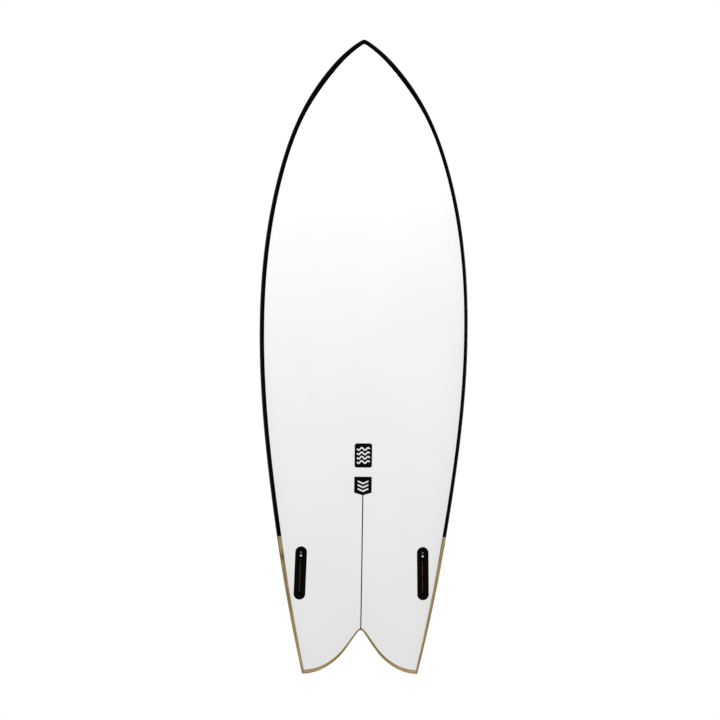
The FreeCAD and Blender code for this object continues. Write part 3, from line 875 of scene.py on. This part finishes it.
def arc_profile(radius, height, size, start, stop):
    """A rounded corner in a turned profile, about a centre, between two angles in degrees."""
    turn = np.radians(np.linspace(start, stop, 6))
    return [(radius + size * math.cos(a), height + size * math.sin(a)) for a in turn]


DECK_PROUD = 0.3 * MM


def rolled_lip(flange, bore, lip):
    """The two rounded corners of a flange's upper face."""
    height = DECK_PROUD - lip
    return arc_profile(flange - lip, height, lip, 0, 90) + arc_profile(bore + lip, height, lip, 90, 180)


CUP_RADIUS, CUP_BORE, CUP_DEPTH, CUP_FLOOR = 15.5 * MM, 13 * MM, 22 * MM, 19.5 * MM
CUP_FLANGE_DEPTH, CUP_LIP, CUP_FILLET = 2 * MM, 0.8 * MM, 2 * MM
PIN_CHAMFER = 0.3 * MM


def make_leash_cup(plastic, steel):
    profile = [(0.5 * MM, -CUP_DEPTH), (CUP_RADIUS - MM, -CUP_DEPTH), (CUP_RADIUS, -CUP_DEPTH + MM)]
    profile += [(CUP_RADIUS, -CUP_FLANGE_DEPTH), (CUP_FLANGE, -CUP_FLANGE_DEPTH)]
    profile += rolled_lip(CUP_FLANGE, CUP_BORE, CUP_LIP)
    profile += arc_profile(CUP_BORE - CUP_FILLET, -CUP_FLOOR + CUP_FILLET, CUP_FILLET, 0, -90)
    profile += [(0.5 * MM, -CUP_FLOOR)]
    rings = turned(cup_centre("leash_cup"), profile)
    tube_piece("leash_cup_moulding", "leash_plastic", ["leash_cup"], rings, plastic)
    low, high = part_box("leash_pin")
    radius, half = (high.z - low.z) / 2, high.x
    inner = half - PIN_CHAMFER
    x = np.concatenate([[-half], np.linspace(-inner, inner, 24), [half]])
    sizes = np.full(len(x), radius)
    sizes[[0, -1]] -= PIN_CHAMFER
    y, z = (low.y + high.y) / 2, (low.z + high.z) / 2
    rings = [[(a, y + u * r, z + v * r) for u, v in ring(1.0, 48)] for a, r in zip(x, sizes)]
    tube_piece("leash_pin_steel", "stainless", ["leash_pin"], rings, steel)


VENT_RADIUS, VENT_DEPTH, VENT_BORE, VENT_BORE_DEPTH = 10 * MM, 16 * MM, 6 * MM, 9 * MM
VENT_FLANGE_DEPTH, VENT_HOLE, VENT_RECESS, VENT_LIP = 1.5 * MM, 2 * MM, 0.6 * MM, 0.6 * MM
COIN_SLOT = (8 * MM, 1.2 * MM, 1.5 * MM)


def make_vent(plastic):
    """The vent's body, and the plug in it with a slot for a coin."""
    centre = cup_centre("vent_body")
    profile = [(VENT_HOLE, -VENT_DEPTH), (VENT_RADIUS, -VENT_DEPTH), (VENT_RADIUS, -VENT_FLANGE_DEPTH)]
    profile += [(VENT_FLANGE, -VENT_FLANGE_DEPTH)] + rolled_lip(VENT_FLANGE, VENT_BORE, VENT_LIP)
    profile += [(VENT_BORE, -VENT_BORE_DEPTH), (VENT_HOLE, -VENT_BORE_DEPTH)]
    rings = turned(centre, profile, 72)
    faces = grid_faces(len(rings), 72, wrap_rows=True, wrap_columns=True)
    add_piece("vent_body_moulding", "vent_plastic", ["vent_body"], rings.reshape(-1, 3), faces, plastic)
    long, wide, depth = COIN_SLOT
    outer = centre + ring(VENT_BORE - 0.5 * MM, 72)
    half = np.array([long, wide]) / 2
    groove = divided(rounded_box(centre - half, centre + half, wide / 2 - 0.01 * MM), MM)
    plan, faces = triangulate([outer, groove], spread(outer, 1.2 * MM), 0.4 * MM)

    def level(plan_points, down):
        return np.column_stack([plan_points, deck(plan_points[:, 0], plan_points[:, 1]) - down])

    top = VENT_RECESS
    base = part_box("vent_insert")[1].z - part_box("vent_insert")[0].z + top
    edge = centre + ring(VENT_BORE - 0.05 * MM, 72)
    plug = Patchwork(level(plan, top), faces)
    plug.close([level(outer, top), level(edge, top + 0.45 * MM), level(edge, base)])
    plug.close([level(groove, top), level(groove, top + depth)], flip=True)
    plug.add_piece("vent_plug", "vent_plastic", "vent_insert", plastic)


# ---- materials ----

class Nodes:
    """Short ways to add nodes to a node tree and join them."""

    def __init__(self, owner):
        owner.use_nodes = True
        self.nodes, self.links = owner.node_tree.nodes, owner.node_tree.links

    def add(self, kind, settings=(), **inputs):
        node = self.nodes.new(kind)
        for key, value in dict(settings).items():
            setattr(node, key, value)
        for key, value in inputs.items():
            self.feed(value, node.inputs[key.replace("_", " ")])
        return node

    def feed(self, value, socket):
        if isinstance(value, bpy.types.NodeSocket):
            self.links.new(value, socket)
        else:
            socket.default_value = value

    def range(self, factor, low, high, start=0.3, stop=0.7):
        return self.add(
            "ShaderNodeMapRange", Value=factor, From_Min=start, From_Max=stop, To_Min=low, To_Max=high,
        ).outputs["Result"]

    def choose(self, factor, first, second):
        """One of two shaders: the first where the factor is 0 and the second where it is 1."""
        node = self.add("ShaderNodeMixShader", Fac=factor)
        self.feed(first, node.inputs[1])
        self.feed(second, node.inputs[2])
        return node.outputs[0]


class Shader(Nodes):
    """A Principled material and its patterns."""

    def __init__(self, name, **sockets):
        self.material = bpy.data.materials.new(name)
        super().__init__(self.material)
        self.surface = self.nodes["Principled BSDF"]
        for socket, value in sockets.items():
            self.surface.inputs[socket.replace("_", " ")].default_value = value

    def place(self, scale, attribute=None):
        """Object coordinates, or a named attribute, stretched by a scale per metre."""
        if attribute:
            vector = self.add("ShaderNodeAttribute", {"attribute_name": attribute}).outputs["Vector"]
        else:
            vector = self.add("ShaderNodeTexCoord").outputs["Object"]
        return self.add("ShaderNodeMapping", Vector=vector, Scale=scale).outputs["Vector"]

    def noise(self, scale, detail=3.0, distortion=0.0, attribute=None):
        return self.add(
            "ShaderNodeTexNoise", Vector=self.place(scale, attribute), Scale=1.0, Detail=detail,
            Roughness=0.55, Distortion=distortion,
        ).outputs["Fac"]

    def ramp(self, factor, stops):
        node = self.add("ShaderNodeValToRGB", Fac=factor)
        elements = node.color_ramp.elements
        while len(elements) < len(stops):
            elements.new(0.5)
        for element, (position, color) in zip(elements, stops):
            element.position = position
            element.color = (*color, 1)
        return node.outputs["Color"]

    def patch(self, along, reach, strength):
        """A factor that falls from a strength to nothing over a reach either side of a place."""
        grain = self.add("ShaderNodeAttribute", {"attribute_name": "grain"}).outputs["Vector"]
        line = self.add("ShaderNodeSeparateXYZ", Vector=grain).outputs["Y"]
        away = self.add("ShaderNodeMath", {"operation": "SUBTRACT"})
        self.feed(line, away.inputs[0])
        self.feed(along, away.inputs[1])
        far = self.add("ShaderNodeMath", {"operation": "ABSOLUTE"})
        self.feed(away.outputs[0], far.inputs[0])
        return self.range(far.outputs[0], strength, 0.0, 0.0, reach)

    def mix(self, factor, first, second):
        node = self.add("ShaderNodeMix", {"data_type": "RGBA"})
        for index, value in ((0, factor), (6, first), (7, second)):
            self.feed((*value, 1) if isinstance(value, tuple) else value, node.inputs[index])
        return node.outputs[2]

    def bump(self, height, distance, normal=None):
        node = self.add("ShaderNodeBump", Height=height, Distance=distance, Strength=1.0)
        if normal is not None:
            self.feed(normal, node.inputs["Normal"])
        return node.outputs["Normal"]

    def finish(self, color, rough, bump=None):
        """Sets the colour, the roughness as (factor, low, high) and the bump as (height, distance)."""
        self.feed(color, self.surface.inputs["Base Color"])
        self.feed(self.range(*rough), self.surface.inputs["Roughness"])
        if bump:
            self.feed(self.bump(*bump), self.surface.inputs["Normal"])
        return self.material

    def two_tone(self, factor, colors, rough, bump=None):
        """A finish whose colour runs between two by a factor."""
        return self.finish(self.mix(self.range(factor, 0, 1), *colors), rough, bump)


def gloss_white(name, *colors):
    """Clear epoxy over a white fill: near-even colour, faint ripples and a polished coat."""
    shader = Shader(name, Coat_Weight=0.7, Coat_Roughness=0.04, Specular_IOR_Level=0.4)
    broad = shader.noise((5, 2.5, 5), detail=4)
    fine = shader.noise((900, 900, 900), detail=2)
    ripple = shader.bump(shader.noise((26, 12, 26), detail=2), 0.00012)
    return shader.two_tone(broad, colors, (fine, 0.32, 0.40), (fine, 0.000006, ripple))


def gloss_black(name, *colors):
    """Black pigmented resin with a polished coat and faint polishing haze."""
    shader = Shader(name, Coat_Weight=0.6, Coat_Roughness=0.05, Specular_IOR_Level=0.35)
    haze = shader.noise((60, 9, 60), detail=5)
    fine = shader.noise((1200, 1200, 1200), detail=2)
    return shader.two_tone(haze, colors, (haze, 0.22, 0.34), (fine, 0.000006))


def clear_timber(name, shade, *knots):
    """Light timber under clear resin: long streaks, fine pores and slow changes of tone, with painted
    shade at the ends that meet in the notch's crotch.

    shade multiplies the tone. Each entry of knots, and the painted shade patch, is (place along the
    grain, reach, strength).
    """
    shader = Shader(name, Coat_Weight=0.5, Coat_Roughness=0.08, Specular_IOR_Level=0.4)
    streak = shader.noise((520, 7, 90), detail=5, distortion=0.4, attribute="grain")
    fine = shader.noise((2400, 26, 400), attribute="grain")
    slow = shader.noise((110, 14, 30), attribute="grain")
    tone = shader.ramp(streak, [
        (place, tuple(shade * part for part in color)) for place, color in (
            (0.30, (0.135, 0.078, 0.024)), (0.43, (0.310, 0.218, 0.088)),
            (0.55, (0.450, 0.335, 0.148)), (0.72, (0.640, 0.510, 0.280)),
        )
    ])
    tone = shader.mix(shader.range(slow, 0.0, 0.55, 0.42, 0.68), tone, (0.215, 0.155, 0.052))
    tone = shader.mix(shader.range(fine, 0.0, 0.40, 0.45, 0.75), tone, (0.150, 0.088, 0.030))
    # The first patch is painted shade at the strip's end in the notch's crotch; the others are the knots
    # given.
    for knot_and_shade in (CROTCH_SHADE, *knots):
        tone = shader.mix(shader.patch(*knot_and_shade), tone, (0.130, 0.058, 0.020))
    return shader.finish(tone, (streak, 0.34, 0.46), (fine, 0.00002))


def inner_timber(name):
    """Plain timber with grain along the board, for strips that have no grain layer."""
    shader = Shader(name, Specular_IOR_Level=0.3)
    streak = shader.noise((300, 7, 300), detail=5, distortion=0.4)
    tone = shader.ramp(streak, ((0.35, (0.22, 0.15, 0.07)), (0.65, (0.42, 0.32, 0.17))))
    return shader.finish(tone, (streak, 0.5, 0.65), (streak, 0.00005))


def moulded(name, first, second, roughness):
    """Moulded plastic: a fine spark-eroded grain and slight flow marks."""
    shader = Shader(name, Specular_IOR_Level=0.45)
    skin = shader.noise((1400, 1400, 1400), detail=2)
    flow = shader.noise((40, 14, 40), detail=4, distortion=0.6)
    rough = (flow, roughness - 0.05, roughness + 0.07)
    return shader.two_tone(flow, (first, second), rough, (skin, 0.00003))


def foam(name, first, second, cell):
    """Rigid foam: rounded beads or cells with darker gaps."""
    shader = Shader(name, Specular_IOR_Level=0.2)
    beads = shader.add(
        "ShaderNodeTexVoronoi", {"feature": "F1"}, Vector=shader.place((cell, cell, cell)), Scale=1.0,
    ).outputs["Distance"]
    tone = shader.mix(shader.range(beads, 0, 1, 0.2, 0.8), first, second)
    return shader.finish(tone, (beads, 0.75, 0.9), (beads, 0.0002))


def steel(name, *colors):
    """Turned stainless steel with fine tool marks."""
    shader = Shader(name, Metallic=0.6)
    marks = shader.noise((3000, 3000, 600))
    stain = shader.noise((200, 200, 200))
    return shader.two_tone(stain, colors, (marks, 0.22, 0.38), (marks, 0.000004))


def printed(name, *colors):
    """Printed film under clear resin: a fine screen pattern and a polished coat."""
    shader = Shader(name, Coat_Weight=0.6, Coat_Roughness=0.05, Specular_IOR_Level=0.35)
    screen = shader.noise((2600, 2600, 2600), detail=1)
    return shader.two_tone(screen, colors, (screen, 0.28, 0.36))


def resin_and_painted_light(name, *colors):
    """Brown resin in the bottom of a fin slot, uneven along its length; the bead it colours is a painted
    lit strip on the slot's floor.
    """
    shader = Shader(name, Specular_IOR_Level=0.5)
    uneven = shader.noise((300, 30, 300), detail=4)
    return shader.two_tone(uneven, colors, (uneven, 0.30, 0.45), (uneven, 0.0002))


def woven(name, *colors):
    """A thin breathable film with a fine weave."""
    shader = Shader(name, Sheen_Weight=0.2)
    weave = shader.add(
        "ShaderNodeTexWave", {"wave_type": "BANDS"}, Vector=shader.place((5000, 5000, 5000)), Scale=1.0,
    ).outputs["Fac"]
    return shader.finish(shader.mix(weave, *colors), (weave, 0.7, 0.85), (weave, 0.00003))


# Dark patches in the timber: place along the grain, reach and strength. The first is painted shade at the
# tail edges' ends in the notch's crotch; the second is a dark spot in the right rail strip's grain.
CROTCH_SHADE = (0.0, 0.007, 0.9)
KNOT = (-0.540, 0.022, 0.8)


def make_materials():
    return {
        "white": gloss_white("epoxy_white", (0.885, 0.885, 0.882), (0.860, 0.860, 0.856)),
        "black": gloss_black("epoxy_black", (0.0004, 0.0004, 0.0005), (0.0012, 0.0012, 0.0013)),
        "timber_left": clear_timber("timber_left", 1.12),
        "timber_right": clear_timber("timber_right", 0.98, KNOT),
        "timber_inner": inner_timber("timber_inner"),
        "stringer": moulded("stringer_dark", (0.012, 0.011, 0.010), (0.022, 0.020, 0.019), 0.35),
        "film": printed("film_black", (0.0005, 0.0005, 0.0005), (0.0013, 0.0013, 0.0013)),
        "ink": printed("ink_white", (0.86, 0.86, 0.86), (0.80, 0.80, 0.80)),
        "fin_box": moulded("nylon_black", (0.0006, 0.0006, 0.0006), (0.0016, 0.0016, 0.0017), 0.40),
        # Brown resin, used as a painted lit strip along each fin slot's floor.
        "resin": resin_and_painted_light("resin_brown_painted_lit", (0.22, 0.075, 0.022), (0.13, 0.100, 0.040)),
        "stop": moulded("nylon_pale", (0.74, 0.73, 0.66), (0.66, 0.65, 0.58), 0.45),
        "steel": steel("stainless", (0.72, 0.72, 0.71), (0.58, 0.58, 0.57)),
        "cup": moulded("cup_black", (0.010, 0.010, 0.010), (0.018, 0.018, 0.019), 0.42),
        "vent": moulded("vent_grey", (0.62, 0.62, 0.61), (0.55, 0.55, 0.54), 0.45),
        "core": foam("bead_foam", (0.86, 0.86, 0.84), (0.62, 0.62, 0.60), 320),
        "skin": foam("skin_foam", (0.74, 0.68, 0.50), (0.56, 0.50, 0.36), 1300),
        "insert": foam("insert_foam", (0.66, 0.56, 0.34), (0.50, 0.42, 0.25), 1000),
        "membrane": woven("membrane", (0.80, 0.80, 0.79), (0.66, 0.66, 0.65)),
        "seal": moulded("seal_rubber", (0.020, 0.020, 0.020), (0.030, 0.030, 0.030), 0.7),
    }


def finish_nodes(look):
    """Materials for the CAD nodes that stay: the pieces inside the board."""
    for node, name in (
        ("foam_core", "core"), ("deck_skin", "skin"), ("leash_block", "insert"),
        ("fin_box_foam_left", "insert"), ("fin_box_foam_right", "insert"),
        ("rail_inner_left", "timber_inner"), ("rail_inner_right", "timber_inner"),
        ("nose_block", "timber_inner"), ("vent_membrane", "membrane"), ("vent_seal", "seal"),
    ):
        for each in frame["nodes"][node].material_slots:
            each.link = "OBJECT"
            each.material = look[name]


# ---- stage ----

FLOOR_HALF = 60.0
FLOOR_DROP = 0.2 * MM


def make_floor():
    """A pale floor just under the board, seen from above only, that lets light through."""
    mesh = bpy.data.meshes.new("floor")
    h = FLOOR_HALF
    mesh.from_pydata([(-h, -h, 0), (h, -h, 0), (h, h, 0), (-h, h, 0)], [], [(0, 1, 2, 3)])
    floor = new_object("floor", mesh)
    floor.location.z = cad_box[0].z - FLOOR_DROP
    shader = Shader("floor_pale", Base_Color=(0.70, 0.70, 0.70, 1), Roughness=0.9, Specular_IOR_Level=0.0)
    below = shader.add("ShaderNodeNewGeometry").outputs["Backfacing"]
    clear = shader.add("ShaderNodeBsdfTransparent").outputs["BSDF"]
    seen = shader.choose(below, shader.surface.outputs["BSDF"], clear)
    shader.feed(seen, shader.nodes["Material Output"].inputs["Surface"])
    mesh.materials.append(shader.material)
    floor.visible_shadow = floor.visible_glossy = floor.visible_diffuse = False


def area_light(name, location, target, width, height, power, in_gloss=True):
    data = bpy.data.lights.new(name, "AREA")
    data.shape = "RECTANGLE"
    data.size, data.size_y, data.energy = width, height, power
    light = new_object(name, data)
    light.location = location
    light.rotation_euler = (Vector(target) - Vector(location)).to_track_quat("-Z", "Y").to_euler()
    light.visible_glossy = in_gloss


AMBIENT = 0.73
DARK_BELOW, BRIGHT_ABOVE = 0.004, 0.5
HORIZON_TONE = 0.68


def make_world():
    """White overhead to the camera, an even light on matt surfaces, and a darker room in the gloss.

    To the camera the backdrop fades at the horizon to the floor's own tone. In the gloss the room
    is dark below the board and brighter above it.
    """
    world = bpy.data.worlds.new("studio")
    tree = Nodes(world)
    tree.nodes.remove(tree.nodes["Background"])
    ray = tree.add("ShaderNodeLightPath").outputs
    direction = tree.add("ShaderNodeTexCoord").outputs["Generated"]
    height = tree.add("ShaderNodeSeparateXYZ", Vector=direction).outputs["Z"]

    def light(strength):
        return tree.add("ShaderNodeBackground", Color=(1, 1, 1, 1), Strength=strength).outputs[0]

    backdrop = light(tree.range(height, HORIZON_TONE, 1.0, 0.1, 0.6))
    room = light(tree.range(height, DARK_BELOW, BRIGHT_ABOVE, 0.0, 1.0))
    seen = tree.choose(ray["Is Camera Ray"], light(AMBIENT), backdrop)
    lit = tree.choose(ray["Is Glossy Ray"], seen, room)
    tree.feed(lit, tree.nodes["World Output"].inputs["Surface"])
    bpy.context.scene.world = world


def make_lights():
    data = bpy.data.lights.new("sun_above", "SUN")
    data.energy, data.angle = 0.9, math.radians(50)
    new_object("sun_above", data).rotation_euler = (math.radians(24), math.radians(-20), 0)
    area_light("strip_above", (-2.2, 0.3, 2.6), (0, 0, 0), 0.7, 3.4, 9)
    area_light("nose_below", (0.4, 3.2, -2.6), (0, 0.55, 0), 2.2, 1.6, 104, in_gloss=False)


# The view is from under the board along its upward direction, leaning towards its right side so
# that more of that rail shows, and turned a little about the line of sight.
VIEW_LEAN = math.radians(4.3)
VIEW_TURN = math.radians(0.57)
LENS, SENSOR = 200.0, 36.0
VIEW_WIDTH = 1.891
VIEW_CENTRE = Vector((10.0 * MM, -11.0 * MM, 20 * MM))


def make_camera():
    data = bpy.data.cameras.new("camera")
    data.lens, data.sensor_width = LENS, SENSOR
    distance = VIEW_WIDTH * LENS / SENSOR
    data.clip_start, data.clip_end = distance / 100, distance * 20
    camera = new_object("camera", data)
    back = Vector((math.sin(VIEW_LEAN), 0, -math.cos(VIEW_LEAN)))
    up = Matrix.Rotation(VIEW_TURN, 3, back) @ Vector((0, 1, 0))
    right = up.cross(back)
    turn = Matrix((right, up, back)).transposed().to_4x4()
    camera.matrix_world = Matrix.Translation(VIEW_CENTRE + back * distance) @ turn
    bpy.context.scene.camera = camera


# ---- the scene ----

look = make_materials()
make_skins(look["white"])
make_band(look["black"])
for word, side in SIDES:
    make_timber_rail(word, side, look[f"timber_{word}"])
    make_tail_edge(word, side, look[f"timber_{word}"])
    make_fin_box(word, side, look["fin_box"])
    # The brown bead in each fin slot is a painted lit strip on the slot's floor.
    make_slot_lit_bead_and_stop(word, side, look["resin"], look["stop"])
    make_screw(word, look["steel"])
make_stringer(look["stringer"])
make_decals(look["film"], look["ink"])
make_leash_cup(look["cup"], look["steel"])
make_vent(look["vent"])
finish_nodes(look)
make_floor()
make_world()
make_lights()
make_camera()
bpy.context.scene.view_settings.view_transform = "Standard"
